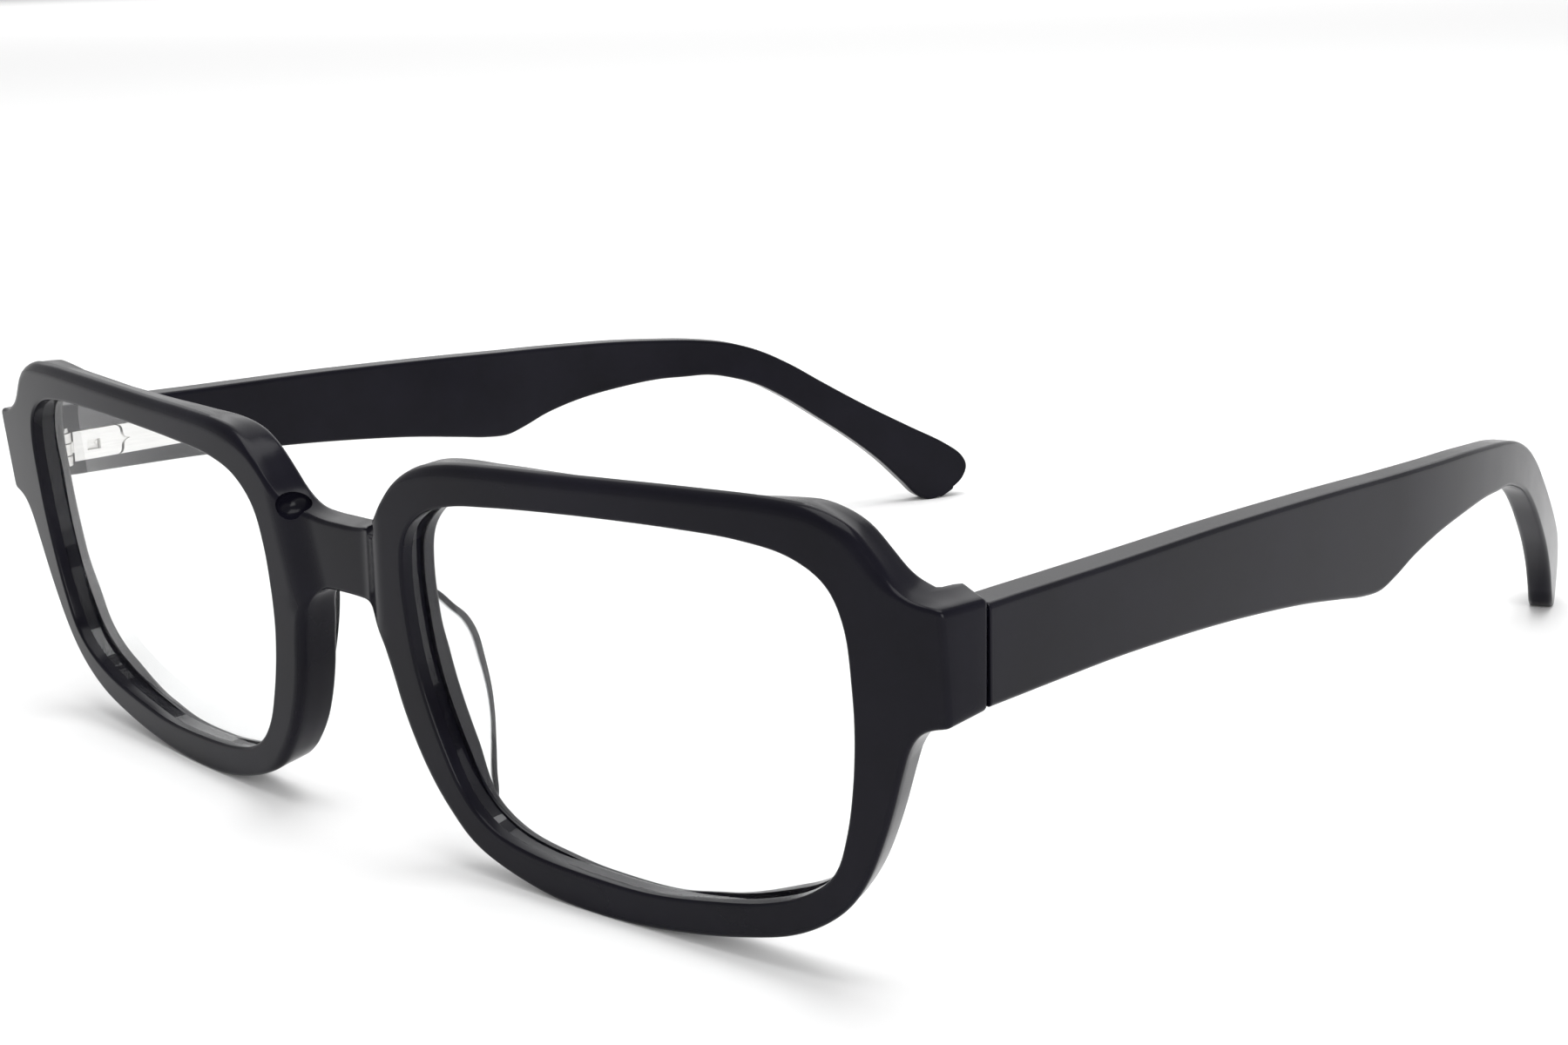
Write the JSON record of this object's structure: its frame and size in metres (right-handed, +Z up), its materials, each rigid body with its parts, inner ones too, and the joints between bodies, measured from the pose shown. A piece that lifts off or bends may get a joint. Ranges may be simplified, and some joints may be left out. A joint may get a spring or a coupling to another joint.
{
  "type": "eyeglasses",
  "caption": "Full-rim rectangular eyeglasses in polished black acetate with clear lenses, clear nose pads and sprung hinges; the temples fold inwards.",
  "frame": {"origin": "middle of the glasses side to side and front to back, on the surface they stand on", "axes": "+Z up, the front faces -Y, the temples run back along +Y, +X is the wearer's left"},
  "size_m": [0.1416, 0.1532, 0.0411],
  "materials": {
    "acetate_front": "polished",
    "acetate_temple": "polished",
    "acetate_pad": "clear, polished",
    "lens_clear": "clear, anti-scratch coated",
    "hinge_steel": "satin nickel silver",
    "screw_steel": "bright",
    "pin_steel": "turned",
    "spring_steel": "drawn wire",
    "spring_box_steel": "bright",
    "core_wire_steel": "drawn wire"
  },
  "bodies": {
    "front": {"front_frame": "acetate_front", "lens_left": "lens_clear", "lens_right": "lens_clear", "nose_pad_left": "acetate_pad", "nose_pad_right": "acetate_pad", "front_hinge_left": "hinge_steel", "front_hinge_right": "hinge_steel", "hinge_screw_left": "screw_steel", "hinge_screw_right": "screw_steel"},
    "hinge_left": {"carriage_left": "hinge_steel", "plunger_left": "pin_steel", "spring_left": "spring_steel"},
    "side_left": {"temple_left": "acetate_temple", "spring_box_left": "spring_box_steel", "core_wire_left": "core_wire_steel"},
    "hinge_right": {"carriage_right": "hinge_steel", "plunger_right": "pin_steel", "spring_right": "spring_steel"},
    "side_right": {"temple_right": "acetate_temple", "spring_box_right": "spring_box_steel", "core_wire_right": "core_wire_steel"}
  },
  "joints": [
    {"name": "left_fold", "type": "hinge", "parent": "front", "child": "hinge_left", "pos_m": [0.0666, -0.0653, 0.0288], "axis": [0, 0, 1], "range_deg": [0, 82]},
    {"name": "left_flex", "type": "slide", "parent": "hinge_left", "child": "side_left", "axis": [-0.0512, 0.9987, 0], "range_m": [0, 0.0012], "stiffness_N_per_m": 1500, "springref_m": -0.0005, "deforming": ["spring_left"]},
    {"name": "right_fold", "type": "hinge", "parent": "front", "child": "hinge_right", "pos_m": [-0.0666, -0.0653, 0.0288], "axis": [0, 0, -1], "range_deg": [0, 64]},
    {"name": "right_flex", "type": "slide", "parent": "hinge_right", "child": "side_right", "axis": [0.0512, 0.9987, 0], "range_m": [0, 0.0012], "stiffness_N_per_m": 1500, "springref_m": -0.0005, "deforming": ["spring_right"]}
  ]
}
